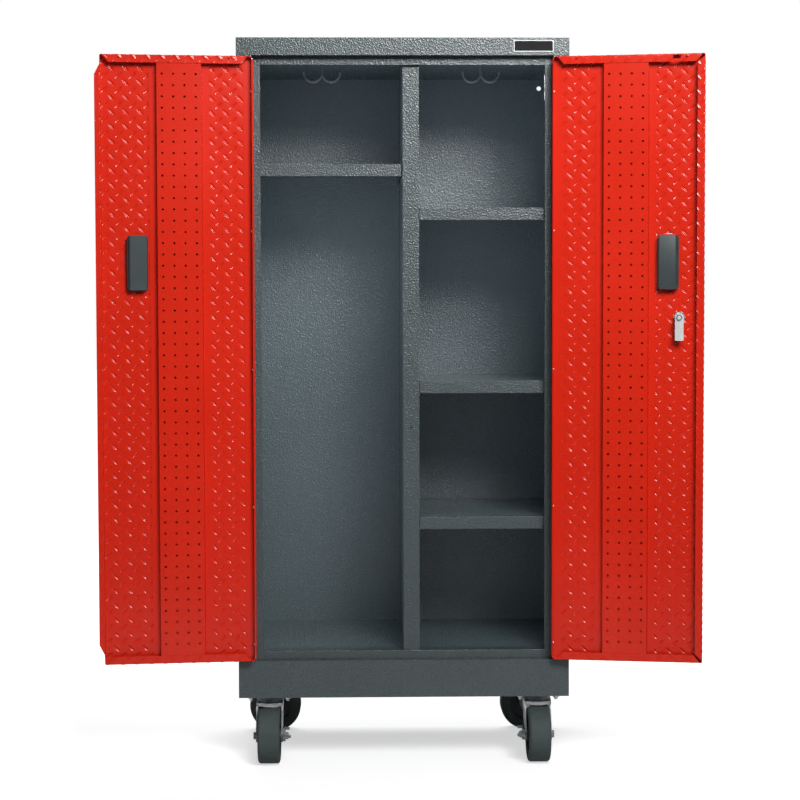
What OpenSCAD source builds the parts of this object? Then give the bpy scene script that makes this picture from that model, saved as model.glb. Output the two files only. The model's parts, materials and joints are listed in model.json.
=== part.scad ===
// Locker cabinet on casters: folded-sheet carcass, two tread-plate doors on
// continuous hinges, divider, shelves, coat hooks, swivel and rigid casters.
// Millimetres. X is the width, Y runs from the front to the back, Z is up.
// The carcass is drawn with its front face at Y = 0 and its middle at X = 0;
// shift_x and shift_y then bring the open cabinet's box over the origin.

/* [Carcass] */
// Width of the carcass across its top cap
cap_w = 762; // [600:10:900]
// Depth of the carcass across its top cap, front fascia to back
cap_d = 458.5; // [350:5:600]
// Height of the top face above the floor
top_z = 1676; // [1500:1:1900]
// Height of the cap's fascia
cap_h = 40; // [25:1:80]
// Top of the plinth
plinth_top = 244; // [200:1:300]
// Bottom of the plinth's skirt
plinth_bottom = 158; // [140:1:180]
// Thickness of the carcass sheet
sheet = 1.2; // [1:0.1:3]
// Thickness of the plinth's plate
plate = 3; // [2:0.5:5]
// Half the clear width between the two door jambs
jamb_x = 345; // [300:1:400]
// Depth of the door stops behind the front face
stop_y = 21; // [15:0.5:30]
// Visible width of the door stops
stop_w = 17.5; // [10:0.5:30]
// Height of the floor panel's upper face
floor_z = 263; // [230:1:300]
// Lower edge of the stop across the top of the opening
header_z = 1616.6; // [1500:0.1:1700]

/* [Divider and shelves] */
// Right side of the divider, whose left side is on the centre plane
divider_x = 37.3; // [20:0.1:60]
// Distance of the divider's face behind the front face
divider_y = 32; // [28:0.5:60]
// Distance of the shelves' lips behind the front face
shelf_y = 36; // [30:0.5:60]
// Height of the shelves' lips
shelf_h = 28.5; // [20:0.5:45]
// Top of the shelf in the left compartment
shelf_left_z = 1392; // [1000:1:1500]
// Top of the upper shelf in the right compartment
shelf_upper_z = 1291; // [1000:1:1500]
// Top of the middle shelf in the right compartment
shelf_middle_z = 890; // [700:1:1000]
// Top of the lower shelf in the right compartment
shelf_lower_z = 573; // [400:1:650]

/* [Doors] */
// Width of each door's pan
door_w = 342; // [250:1:400]
// Lower edge of the doors
door_z0 = 248; // [240:0.5:300]
// Upper edge of the doors
door_z1 = 1630.5; // [1500:0.5:1700]
// Depth of the door pans
door_t = 20; // [12:0.5:30]
// Thickness of the door sheet
skin = 1.2; // [0.8:0.1:2]
// Width of the folded returns
return_w = 18; // [10:0.5:30]
// Width of the plain strip along each door's hinged edge
strip_w = 19.5; // [10:0.5:40]
// How far the left door's lip reaches past its free edge
lip_w = 12; // [6:0.5:20]
// Distance from a door's hinged edge to the middle of its perforated channel
channel_u = 165; // [120:1:200]
// Width of the channel's raised face
channel_w = 100; // [60:1:140]
// Radius of the channel's hook holes
hole_r = 2.4; // [1:0.05:4]
// Pitch of the hook holes
hole_pitch = 25.4; // [20:0.1:40]
// Opening angle at which the left door is drawn
left_open = 174.25; // [0:0.05:178]
// Opening angle at which the right door is drawn
right_open = 170.35; // [0:0.05:178]

/* [Hinges] */
// Distance of each hinge pin from the middle of the carcass
pin_x = 344; // [300:0.5:400]
// Position of the pins in front of the front face
pin_y = -3; // [-6:0.1:-2]
// Radius of the hinge pins
pin_r = 1.5; // [1:0.1:3]
// Running clearance between pin and knuckle, on the radius
pin_gap = 0.05; // [0.02:0.01:0.1]
// Outer radius of the knuckles
knuckle_r = 2.9; // [2:0.1:5]
// Number of knuckles on each hinge
knuckles = 54; // [10:2:110]

/* [Lock] */
// Distance of the lock from the right door's hinged edge
lock_u = 286.5; // [200:0.5:330]
// Height of the lock's axis
lock_z = 1036.7; // [800:0.1:1300]
// Reach of the cam from the lock's axis to its tip
cam_reach = 53; // [30:1:80]

/* [Casters] */
// Distance of the front swivel axes from the middle
swivel_x = 314; // [250:1:340]
// Distance of the front swivel axes behind the front face
swivel_y = 62; // [50:1:100]
// Distance of the rear wheels behind the front face
rear_y = 376; // [350:1:420]
// Radius of the wheels
wheel_r = 63.5; // [40:0.5:80]
// Width of the wheels
wheel_w = 51; // [25:1:60]
// Swivel offset between the swivel axis and the wheel's axle
trail = 38; // [20:1:60]
// Radius of the axles
axle_r = 5; // [3:0.5:8]

/* [Hidden] */
$fn = 48;
shift_x = 6.3;
shift_y = -186.5;
body_x = cap_w / 2 - sheet;      // outer face of the side panels
inner_x = body_x - sheet;        // inner face of the side panels
back_y = cap_d - 2 * sheet;      // outer face of the rear flanges
panel_y = back_y - 2 * sheet;    // front face of the back panel
cap_z = top_z - cap_h;           // underside of the cap
skirt_y = back_y + plate;        // rear face of the plinth
edge_x = pin_x - 1;              // hinged edge of the closed doors
rivet_zs = [286.4, 602.7, 919, 1235.3, 1551.6];
grey = [0.27, 0.29, 0.30];
red = [0.85, 0.15, 0.10];
zinc = [0.78, 0.79, 0.80];
dark = [0.16, 0.17, 0.18];
cup = [0.33, 0.35, 0.36];

module place() { translate([shift_x, shift_y, 0]) children(); }
module block(x0, x1, y0, y1, z0, z1) {
    translate([x0, y0, z0]) cube([x1 - x0, y1 - y0, z1 - z0]);
}
// a bar along X, Y or Z by its centre line's start
module rod_x(x0, x1, y, z, r) { translate([x0, y, z]) rotate([0, 90, 0]) cylinder(h = x1 - x0, r = r); }
module rod_y(y0, y1, x, z, r) { translate([x, y1, z]) rotate([90, 0, 0]) cylinder(h = y1 - y0, r = r); }
module rod_z(z0, z1, x, y, r) { translate([x, y, z0]) cylinder(h = z1 - z0, r = r); }
module hex_x(x0, x1, y, z, r) { translate([x0, y, z]) rotate([0, 90, 0]) cylinder(h = x1 - x0, r = r, $fn = 6); }

// ---------------------------------------------------------------- carcass
module side_panel() {
    difference() {
        union() {
            block(-body_x, -inner_x, 0, back_y, plinth_bottom + 5, top_z - sheet);
            block(-body_x, -jamb_x, 0, sheet, plinth_bottom + 5, top_z - sheet);
            block(-jamb_x - sheet, -jamb_x, 0, stop_y + sheet, plinth_top, cap_z + sheet);
            block(-jamb_x - sheet, -jamb_x + stop_w, stop_y, stop_y + sheet, plinth_top, cap_z + sheet);
            block(-jamb_x + stop_w - sheet, -jamb_x + stop_w, stop_y, stop_y + 12, plinth_top, cap_z + sheet);
            block(-body_x, -body_x + 18, back_y - sheet, back_y, plinth_bottom + 5, top_z - sheet);
        }
        // the plinth's bottom flange and the cap leave the lower end free
        block(-body_x - 1, -jamb_x + 1, -1, stop_y, plinth_bottom + 4, plinth_bottom + 5.5);
    }
}
module side_panel_left() color(grey) place() side_panel();
module side_panel_right() color(grey) place() mirror([1, 0, 0]) side_panel();

module back_panel() color(grey) place() difference() {
    block(-inner_x, inner_x, panel_y, back_y - sheet, plinth_bottom + 5.5, top_z - sheet);
    for (s = [-1, 1]) rod_y(panel_y - 1, back_y, s * 355, 1615.4, 5.5);
}

module top_cap() color(grey) place() difference() {
    block(-cap_w / 2, cap_w / 2, -sheet, cap_d - sheet, cap_z, top_z);
    block(-body_x, body_x, 0, back_y, cap_z + sheet, top_z - sheet);
    // the folded return under the fascia stops at the jambs and at the stop
    block(-body_x, body_x, stop_y - 0.1, back_y, cap_z - 1, cap_z + 2 * sheet);
    for (s = [-1, 1]) translate([s * (body_x + jamb_x) / 2, 0, 0])
        block(-(body_x - jamb_x) / 2 - 0.2, (body_x - jamb_x) / 2 + 0.2, 0, stop_y, cap_z - 1, cap_z + 2 * sheet);
    block(-60, 60, back_y - 1, cap_d + 1, cap_z - 1, cap_z + 6);
}

module ceiling_panel() color(grey) place() {
    block(-inner_x, inner_x, sheet, panel_y, cap_z + sheet, cap_z + 2 * sheet);
    difference() {
        union() {
            block(-jamb_x + stop_w, jamb_x - stop_w, stop_y, stop_y + sheet, header_z, cap_z + sheet);
            block(-jamb_x + stop_w, jamb_x - stop_w, stop_y, stop_y + 10.5, header_z, header_z + sheet);
        }
    }
}

module floor_panel() color(grey) place() {
    block(-jamb_x + stop_w, jamb_x - stop_w, stop_y, stop_y + sheet, plinth_top, floor_z);
    block(-jamb_x + stop_w, jamb_x - stop_w, stop_y + sheet, 34, floor_z - sheet, floor_z);
    block(-inner_x, inner_x, 34, panel_y, floor_z - sheet, floor_z);
}

module plinth() color(grey) place() {
    difference() {
        block(-body_x - plate, body_x + plate, -plate, skirt_y, plinth_bottom, plinth_top);
        block(-body_x, body_x, 0, back_y, plinth_bottom - 1, plinth_bottom + 2);
        block(-body_x, body_x, 0, back_y, plinth_bottom + 5, plinth_top - sheet);
        block(-262, 262, 30, back_y - 30, plinth_bottom - 1, plinth_bottom + 6);
        block(-body_x, body_x, stop_y - 0.1, back_y, plinth_top - 4, plinth_top + 1);
        for (s = [-1, 1]) block(s * (body_x + jamb_x) / 2 - (body_x - jamb_x) / 2 - 0.2,
            s * (body_x + jamb_x) / 2 + (body_x - jamb_x) / 2 + 0.2, 0, stop_y, plinth_top - 4, plinth_top + 1);
        for (s = [-1, 1]) bolt_holes(s);
    }
}
module bolt_holes(s) {
    for (p = [[swivel_x, swivel_y], [swivel_x + 1.5, rear_y]]) for (i = [-1, 1]) for (j = [-1, 1])
        rod_z(plinth_bottom, plinth_bottom + 7, s * p[0] + i * 42, p[1] + j * 33, 4.2);
}

module floor_risers() color(grey) place() for (x = [-200, 0, 200]) {
    difference() {
        block(x - 25, x + 25, 25, back_y - 12, plinth_bottom + 5, floor_z - sheet);
        block(x - 25 + sheet, x + 26, 24, back_y - 11, plinth_bottom + 5 + sheet, floor_z - 2 * sheet);
    }
}

module divider() color(grey) place() {
    difference() {
        block(0, divider_x, divider_y, panel_y, floor_z, cap_z + sheet);
        block(sheet, divider_x - sheet, divider_y + sheet, panel_y + 1, floor_z - 1, cap_z + 2 * sheet);
        for (z = [1582.7, 1053.3, 782.3]) rod_y(divider_y - 1, divider_y + 3, 17.5, z, 2.2);
    }
    block(-39, 0, panel_y - sheet, panel_y, floor_z, cap_z + sheet);
    block(divider_x, divider_x + 26.5, panel_y - sheet, panel_y, floor_z, cap_z + sheet);
}

// a shelf between two walls, with its lips folded down and its front hemmed
module shelf(x0, x1, z) {
    difference() {
        block(x0, x1, shelf_y, panel_y - 4, z - shelf_h, z);
        block(x0 + sheet, x1 - sheet, shelf_y + sheet, panel_y - 4 - sheet, z - shelf_h - 1, z - sheet);
        block(x0 - 1, x1 + 1, shelf_y + 14, panel_y, z - shelf_h - 1, z - 20);
    }
    block(x0, x1, shelf_y + sheet, shelf_y + 14, z - shelf_h, z - shelf_h + sheet);
}
module shelf_left() color(grey) place() shelf(-inner_x + 2, -3.4, shelf_left_z);
module shelf_right_upper() color(grey) place() shelf(divider_x + 1, inner_x - 2, shelf_upper_z);
module shelf_right_middle() color(grey) place() shelf(divider_x + 1, inner_x - 2, shelf_middle_z);
module shelf_right_lower() color(grey) place() shelf(divider_x + 1, inner_x - 2, shelf_lower_z);

// an angle bracket under the side lip of a shelf, on a wall whose face is at x
module clip(x, s, y, z) {
    translate([x, y, z - 20]) mirror([s < 0 ? 1 : 0, 0, 0]) {
        block(0, 1.2, -12, 12, -24, 0);
        block(0, 14, -12, 12, -1.2, 0);
        rod_x(1.2, 3, 0, -13, 3.4);
    }
}
module shelf_clips() color(zinc) place() {
    for (y = [90, 400]) {
        clip(-inner_x, 1, y, shelf_left_z);
        clip(0, -1, y, shelf_left_z);
        for (z = [shelf_upper_z, shelf_middle_z, shelf_lower_z]) {
            clip(divider_x, 1, y, z);
            clip(inner_x, -1, y, z);
        }
    }
}

// double hook: a stem under the ceiling and two arms turned up
module coat_hook(x) {
    y = 150; r = 2.6; sweep = 21.5; zc = cap_z - 21.5;
    rod_z(zc, cap_z + sheet, x, y, r);
    for (s = [-1, 1]) translate([x + s * sweep, y, zc]) {
        rotate([90, 0, 0]) rotate([0, 0, 180]) rotate_extrude(angle = 180) translate([sweep, 0]) circle(r = r, $fn = 24);
        translate([s * sweep, 0, 0]) sphere(r = 3.4);
    }
    rod_z(cap_z - 2, cap_z + sheet, x, y, 8);
}
module coat_hook_left() color(zinc) place() coat_hook(-188);
module coat_hook_right() color(zinc) place() coat_hook(188);
module hook_nuts() color(zinc) place() for (x = [-188, 188])
    translate([x, 150, cap_z + 2 * sheet]) cylinder(h = 5, r = 6.5, $fn = 6);

module post_clip() color(zinc) place() {
    block(326, jamb_x - stop_w, stop_y + sheet, stop_y + 12, 1537, 1595);
}

module blank_plate() color(dark) place() difference() {
    block(253, 345, -sheet - 1.5, -sheet, 1643.5, 1670.5);
    block(255.5, 342.5, -sheet - 2, -sheet - 1, 1646, 1668);
}

// ----------------------------------------------------------------- hinges
pitch = (door_z1 - door_z0 - 8) / knuckles;
// one leaf's knuckles: k0 is 0 for the frame's leaf and 1 for the door's
module knuckle_row(k0) {
    for (k = [k0 : 2 : knuckles - 1]) translate([0, 0, door_z0 + 4 + k * pitch + 0.2]) difference() {
        union() {
            cylinder(h = pitch - 0.4, r = knuckle_r);
            if (k0 == 0) block(-1, -0.1, 1.8, 3.2, 0, pitch - 0.4);
            else block(0.1, 1, 1.8, 3.2, 0, pitch - 0.4);
        }
        translate([0, 0, -1]) cylinder(h = pitch + 1, r = pin_r + pin_gap);
    }
}
module frame_hinge() {
    translate([-pin_x, pin_y, 0]) {
        knuckle_row(0);
        block(-1, -0.1, 3.1, 22, door_z0 + 4, door_z1 - 4);
    }
}
module frame_hinge_left() color(red) place() frame_hinge();
module frame_hinge_right() color(red) place() mirror([1, 0, 0]) frame_hinge();
module hinge_pins() color(zinc) place() for (s = [-1, 1])
    rod_z(door_z0 + 2, door_z1 - 2, s * pin_x, pin_y, pin_r);
module frame_rivets() color(zinc) place() for (s = [-1, 1]) for (z = rivet_zs)
    mirror([s < 0 ? 1 : 0, 0, 0]) rod_x(jamb_x + sheet, jamb_x + sheet + 1.8, 11, z + 10, 3.2);

// ------------------------------------------------------------------ doors
// The doors are drawn closed, u across from the hinged edge, then swung open.
module on_left() { place() translate([-pin_x, pin_y, 0]) rotate([0, 0, -left_open])
    translate([pin_x - edge_x, -pin_y, 0]) children(); }
module on_right() { place() mirror([1, 0, 0]) translate([-pin_x, pin_y, 0]) rotate([0, 0, -right_open])
    translate([pin_x - edge_x, -pin_y, 0]) children(); }
// a slab in u and z with rounded corners on its hinged side
module slab(u0, u1, v0, v1, z0, z1, r) {
    block(u0 + r, u1, v0, v1, z0, z1);
    block(u0, u1, v0, v1, z0 + r, z1 - r);
    for (z = [z0 + r, z1 - r]) rod_y(v0, v1, u0 + r, z, r);
}
module trapezoid(z, s) {
    translate([0, door_t - skin, z]) mirror([0, 0, s < 0 ? 1 : 0])
        rotate([90, 0, 0]) mirror([0, 0, 1]) linear_extrude(skin)
        polygon([[5, 0], [door_w - 0.6, 0], [door_w - return_w, return_w], [return_w + 3, return_w]]);
}
module pan() {
    difference() {
        slab(0, door_w, 0, door_t, door_z0, door_z1, 8);
        slab(skin, door_w - skin, skin, door_t + 1, door_z0 + skin, door_z1 - skin, 7);
    }
    trapezoid(door_z0, 1);
    trapezoid(door_z1, -1);
    // plain stiffening strip behind the hinge leaf
    block(skin - 0.1, strip_w, skin - 0.1, skin + 0.8, door_z0 + 8, door_z1 - 8);
}
module handle_cut() { slab(237, 285, -1, skin + 1, 1099.5, 1224.5, 8); }
module left_door_pan() color(red) on_left() difference() {
    union() {
        pan();
        block(door_w - skin, door_w, door_t, door_t + 1.6, 271, 1608);
        translate([door_w, door_t + 0.4, 0]) rotate([90, 0, 0]) mirror([0, 0, 1]) linear_extrude(skin)
            polygon([[-skin, 271], [lip_w, 294], [lip_w, 1585], [-skin, 1608]]);
    }
    handle_cut();
    for (u = [52.8, 299]) rod_y(door_t - 3, door_t + 1, u, 1623, 1.6);
}
module right_door_pan() color(red) on_right() difference() {
    union() {
        pan();
        translate([0, door_t - skin, 0]) rotate([90, 0, 0]) mirror([0, 0, 1]) linear_extrude(skin)
            polygon([[door_w, door_z0 + 1], [door_w, door_z1 - 1], [door_w - 17, door_z1 - 18], [door_w - 17, door_z0 + 18]]);
    }
    handle_cut();
    for (u = [52.8, 300]) rod_y(door_t - 3, door_t + 1, u, 1623, 1.6);
    block(270, 287.5, door_t - 3, door_t + 1, 1618.5, 1627);
    rod_y(-1, 3, lock_u, lock_z, 9.6);
}

module channel() {
    c = channel_u; h = channel_w / 2; b = 68.5;
    difference() {
        translate([0, 0, door_z0 + 2]) linear_extrude(door_z1 - door_z0 - 4) polygon([
            [c - b, skin], [c - h - 1.7, skin], [c - h + 0.9, 17.6], [c + h - 0.9, 17.6],
            [c + h + 1.7, skin], [c + b, skin], [c + b, skin + 1], [c + h + 2.8, skin + 1],
            [c + h, 18.6], [c - h, 18.6], [c - h - 2.8, skin + 1], [c - b, skin + 1]]);
        for (row = [0 : 51]) for (col = [-1.5 : 1 : 1.5])
            rod_y(17, 19.2, c + col * hole_pitch, 292.6 + row * hole_pitch, hole_r);
    }
}
module left_door_channel() color(red) on_left() channel();
module right_door_channel() color(red) on_right() channel();

// recessed pull: a cup behind the sheet, a bezel outside and a grip lip
module handle() {
    difference() {
        union() {
            intersection() {
                slab2(237.5, 284.5, 0, 20, 1100.3, 1223.7, 8);
                translate([0, 0, 1090]) linear_extrude(150)
                    polygon([[236, -1], [286, -1], [286, 13], [277, 20], [240, 20], [236, 16]]);
            }
            slab2(231, 291, -2.5, 0, 1094, 1230, 11);
        }
        slab2(241, 281, -3, 17.5, 1105, 1219, 6);
    }
    // the grip covers the side of the pocket that is nearer the free edge
    difference() {
        block(262, 283, -2.5, 0.5, 1103, 1221);
        block(261, 264, -3, -1.5, 1102, 1222);
    }
}
// a slab with four rounded corners
module slab2(u0, u1, v0, v1, z0, z1, r) {
    block(u0 + r, u1 - r, v0, v1, z0, z1);
    block(u0, u1, v0, v1, z0 + r, z1 - r);
    for (z = [z0 + r, z1 - r]) for (u = [u0 + r, u1 - r]) rod_y(v0, v1, u, z, r);
}
module left_door_handle() color(cup) on_left() handle();
module right_door_handle() color(cup) on_right() handle();

// the leaf lies on the outside of the door's hinged wall
module door_hinge() {
    translate([edge_x - pin_x, 0, 0]) {
        translate([0, pin_y, 0]) knuckle_row(1);
        block(0.1, 1, 0.1, 19, door_z0 + 9, door_z1 - 9);
    }
}
module left_door_hinge() color(red) on_left() door_hinge();
module right_door_hinge() color(red) on_right() door_hinge();
module door_rivets() { for (z = rivet_zs) rod_x(skin, skin + 2, 11, z, 3.2); }
module left_door_rivets() color(zinc) on_left() door_rivets();
module right_door_rivets() color(zinc) on_right() door_rivets();

// ------------------------------------------------------------------- lock
module lock_barrel() color(zinc) on_right() difference() {
    union() {
        rod_y(-3.5, 0, lock_u, lock_z, 12);
        rod_y(0, 22.4, lock_u, lock_z, 9.5);
    }
    rod_y(-4, 23, lock_u, lock_z, 4.05);
}
module lock_nut() color(zinc) on_right() difference() {
    translate([lock_u, 6.2, lock_z]) rotate([90, 0, 0]) cylinder(h = 5, r = 14, $fn = 6);
    rod_y(0, 7, lock_u, lock_z, 9.5);
}
module lock_cam() color(zinc) on_right() difference() {
    union() {
        rod_y(-3.2, 30.5, lock_u, lock_z, 4);
        rod_y(23, 26, lock_u, lock_z, 9.7);
        block(lock_u - 9.7, lock_u + 9.7, 23, 26, lock_z - cam_reach + 3, lock_z);
        block(lock_u - 6.7, lock_u + 6.7, 23, 26, lock_z - cam_reach, lock_z);
        for (s = [-1, 1]) rod_y(23, 26, lock_u + s * 6.7, lock_z - cam_reach + 3, 3);
    }
    block(lock_u - 0.6, lock_u + 0.6, -4, -0.5, lock_z - 3, lock_z + 3);
}
module cam_nut() color(zinc) on_right() difference() {
    translate([lock_u, 30, lock_z]) rotate([90, 0, 0]) cylinder(h = 4, r = 7.5, $fn = 6);
    rod_y(25, 31, lock_u, lock_z, 4);
}

// ---------------------------------------------------------------- casters
// Front casters are drawn round their swivel axis with the inner side at +X.
module at_front(s) { place() mirror([s > 0 ? 1 : 0, 0, 0]) translate([-swivel_x, swivel_y, 0]) children(); }
module at_rear(s) { place() mirror([s > 0 ? 1 : 0, 0, 0]) translate([-swivel_x - 1.5, rear_y, 0]) children(); }
pad_z = plinth_bottom + 2;   // underside of the plinth's flange
module plate_top(dx) {
    difference() {
        block(-55 + dx, 55 + dx, -46, 46, pad_z - 3, pad_z);
        for (i = [-1, 1]) for (j = [-1, 1]) rod_z(pad_z - 4, pad_z + 1, i * 42 + dx, j * 33, 4.2);
    }
}
module caster_top() {
    plate_top(0);
    difference() {
        union() {
            rod_z(142, pad_z - 3, 0, 0, 31);
            rod_z(138, 142, 0, 0, 29);
        }
        rod_z(137, 139.5, 0, 0, 22);
    }
    rod_z(129.2, 140, 0, 0, 6);
    rod_z(125.8, 129.2, 0, 0, 11);
}
module caster_top_left() color(zinc) at_front(-1) caster_top();
module caster_top_right() color(zinc) at_front(1) caster_top();
module leg_yz() {
    polygon([[-24, 137.5], [20, 137.5], [20, 118], [-25, 56], [-44, 50], [-52, 69]]);
    translate([-trail, wheel_r]) circle(r = 15);
}
module fork() difference() {
    union() {
        rod_z(129.5, 137.5, 0, 0, 31.5);
        block(-31, 31, -24, 20, 129.5, 137.5);
        for (x = [-31, 28]) translate([x, 0, 0]) rotate([90, 0, 90]) linear_extrude(3) leg_yz();
    }
    rod_z(128, 139, 0, 0, 6.05);
    rod_x(-32, 32, -trail, wheel_r, axle_r);
}
module fork_left() color(zinc) at_front(-1) fork();
module fork_right() color(zinc) at_front(1) fork();
module axle() {
    rod_x(-37.2, 46, -trail, wheel_r, axle_r);
    difference() {
        union() {
            hex_x(-37.2, -31, -trail, wheel_r, 8.6);
            hex_x(37.6, 43.6, -trail, wheel_r, 8.6);
        }
        rod_x(-38, 47, -trail, wheel_r, axle_r - 0.5);
    }
}
module axle_left() color(zinc) at_front(-1) axle();
module axle_right() color(zinc) at_front(1) axle();
module brake() difference() {
    union() {
        rod_x(31.3, 37.3, -trail, wheel_r, 13);
        translate([33, -trail, wheel_r]) rotate([6, 0, 0]) {
            block(0, 3, -36, 36, 0, 9);
            block(0, 18, -36, -23, 6, 9);
            block(0, 13, 22, 35, 6, 9);
        }
    }
    rod_x(31, 38, -trail, wheel_r, axle_r + 0.05);
}
module brake_left() color(zinc) at_front(-1) brake();
module brake_right() color(zinc) at_front(1) brake();
// wheels are drawn round the X axis through their own middle
module tyre_shape() rotate([0, 90, 0]) rotate_extrude($fn = 96) union() {
    translate([47, -wheel_w / 2]) square([9.5, wheel_w]);
    translate([47, -wheel_w / 2 + 7]) square([wheel_r - 47, wheel_w - 14]);
    for (s = [-1, 1]) translate([wheel_r - 7, s * (wheel_w / 2 - 7)]) circle(r = 7);
}
module hub_shape() rotate([0, 90, 0]) rotate_extrude($fn = 96) union() {
    translate([axle_r + 0.05, -27.4]) square([11, 54.8]);
    translate([15, -6]) square([27, 12]);
    translate([40, -wheel_w / 2 + 2]) square([7, wheel_w - 4]);
}
module hub_left() color(dark) at_front(-1) translate([0, -trail, wheel_r]) hub_shape();
module hub_right() color(dark) at_front(1) translate([0, -trail, wheel_r]) hub_shape();
module tyre_left() color(dark) at_front(-1) translate([0, -trail, wheel_r]) tyre_shape();
module tyre_right() color(dark) at_front(1) translate([0, -trail, wheel_r]) tyre_shape();

module rigid_fork() {
    plate_top(0);
    difference() {
        union() {
            block(-30, 30, -31, 31, pad_z - 6, pad_z - 3);
            for (y = [-28, 31]) translate([0, y, 0]) rotate([90, 0, 0]) linear_extrude(3) {
                polygon([[-30, pad_z - 3], [30, pad_z - 3], [30, 130], [14, 58], [-14, 58], [-30, 130]]);
                translate([0, wheel_r]) circle(r = 15);
            }
        }
        rod_y(-32, 32, 0, wheel_r, axle_r);
    }
}
module rigid_fork_left() color(zinc) at_rear(-1) rigid_fork();
module rigid_fork_right() color(zinc) at_rear(1) rigid_fork();
module rear_axles() color(zinc) for (s = [-1, 1]) at_rear(s) {
    rod_y(-37.2, 39, 0, wheel_r, axle_r);
    for (y = [-31, 37.2]) difference() {
        translate([0, y, wheel_r]) rotate([90, 0, 0]) cylinder(h = 6.2, r = 8.6, $fn = 6);
        rod_y(y - 7, y + 1, 0, wheel_r, axle_r - 0.5);
    }
}
module rear_hub_left() color(dark) at_rear(-1) translate([0, 0, wheel_r]) rotate([0, 0, 90]) hub_shape();
module rear_hub_right() color(dark) at_rear(1) translate([0, 0, wheel_r]) rotate([0, 0, 90]) hub_shape();
module rear_tyre_left() color(dark) at_rear(-1) translate([0, 0, wheel_r]) rotate([0, 0, 90]) tyre_shape();
module rear_tyre_right() color(dark) at_rear(1) translate([0, 0, wheel_r]) rotate([0, 0, 90]) tyre_shape();

module caster_bolts() color(zinc) place() for (s = [-1, 1]) for (i = [-1, 1]) for (j = [-1, 1]) {
    for (p = [[s * swivel_x, swivel_y], [s * (swivel_x + 1.5), rear_y]]) {
        rod_z(144.5, pad_z + 3, p[0] + i * 42, p[1] + j * 33, 4);
        difference() {
            union() {
                translate([p[0] + i * 42, p[1] + j * 33, pad_z - 10.5]) cylinder(h = 7.5, r = 7.4, $fn = 6);
                translate([p[0] + i * 42, p[1] + j * 33, pad_z + 3]) cylinder(h = 5, r = 7.4, $fn = 6);
            }
            rod_z(140, pad_z + 3, p[0] + i * 42, p[1] + j * 33, 3.5);
        }
    }
}

side_panel_left();
side_panel_right();
back_panel();
top_cap();
ceiling_panel();
floor_panel();
plinth();
floor_risers();
divider();
shelf_left();
shelf_right_upper();
shelf_right_middle();
shelf_right_lower();
shelf_clips();
coat_hook_left();
coat_hook_right();
hook_nuts();
post_clip();
blank_plate();
frame_hinge_left();
frame_hinge_right();
hinge_pins();
frame_rivets();
left_door_pan();
left_door_channel();
left_door_handle();
left_door_hinge();
left_door_rivets();
right_door_pan();
right_door_channel();
right_door_handle();
right_door_hinge();
right_door_rivets();
lock_barrel();
lock_nut();
lock_cam();
cam_nut();
caster_bolts();
caster_top_left();
caster_top_right();
fork_left();
fork_right();
axle_left();
axle_right();
brake_left();
brake_right();
hub_left();
hub_right();
tyre_left();
tyre_right();
rigid_fork_left();
rigid_fork_right();
rear_axles();
rear_hub_left();
rear_hub_right();
rear_tyre_left();
rear_tyre_right();
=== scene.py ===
import bpy
import bmesh
import json
import math
from mathutils import Matrix, Vector
from mathutils.geometry import delaunay_2d_cdt


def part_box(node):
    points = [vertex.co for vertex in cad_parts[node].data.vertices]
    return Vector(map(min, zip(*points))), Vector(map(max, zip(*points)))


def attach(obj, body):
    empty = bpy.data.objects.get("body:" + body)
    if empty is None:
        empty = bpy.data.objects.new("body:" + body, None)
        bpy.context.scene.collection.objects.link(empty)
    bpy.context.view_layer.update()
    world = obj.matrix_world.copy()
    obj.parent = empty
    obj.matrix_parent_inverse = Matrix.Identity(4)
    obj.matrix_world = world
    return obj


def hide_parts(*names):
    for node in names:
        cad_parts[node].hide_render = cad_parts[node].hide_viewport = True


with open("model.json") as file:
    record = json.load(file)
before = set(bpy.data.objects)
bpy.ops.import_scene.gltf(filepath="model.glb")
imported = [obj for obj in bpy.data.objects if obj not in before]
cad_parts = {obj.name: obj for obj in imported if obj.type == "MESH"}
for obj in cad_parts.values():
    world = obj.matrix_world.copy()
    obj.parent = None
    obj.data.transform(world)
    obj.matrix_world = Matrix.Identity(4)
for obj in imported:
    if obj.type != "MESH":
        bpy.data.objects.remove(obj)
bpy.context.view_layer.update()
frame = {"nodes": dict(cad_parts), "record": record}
NODES = frame["nodes"]
MM = 0.001
SHIFT = (6.3, -186.5)      # CAD's carcass coordinates to the row's frame, mm
scene = bpy.context.scene
scene.view_settings.view_transform = "Standard"
scene.view_settings.look = "None"


# ------------------------------------------------------------------ camera
def make_camera():
    yaw, pitch, roll = 0.0215, 0.0475, -0.0022
    fw = Vector((math.sin(yaw) * math.cos(pitch), math.cos(yaw) * math.cos(pitch), -math.sin(pitch)))
    r0 = Vector((math.cos(yaw), -math.sin(yaw), 0))
    u0 = r0.cross(fw)
    right = r0 * math.cos(roll) + u0 * math.sin(roll)
    up = u0 * math.cos(roll) - r0 * math.sin(roll)
    data = bpy.data.cameras.new("camera")
    data.lens = 82.53
    data.sensor_width = 36
    data.clip_end = 60
    cam = bpy.data.objects.new("camera", data)
    scene.collection.objects.link(cam)
    m = Matrix((right, up, -fw)).transposed().to_4x4()
    m.translation = Vector((-0.0927, -4.4054, 1.0484))
    cam.matrix_world = m
    scene.camera = cam


# --------------------------------------------------------- stage and light
def mesh_object(name, verts, faces):
    me = bpy.data.meshes.new(name)
    me.from_pydata(verts, [], faces)
    me.update()
    ob = bpy.data.objects.new(name, me)
    scene.collection.objects.link(ob)
    return ob


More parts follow.
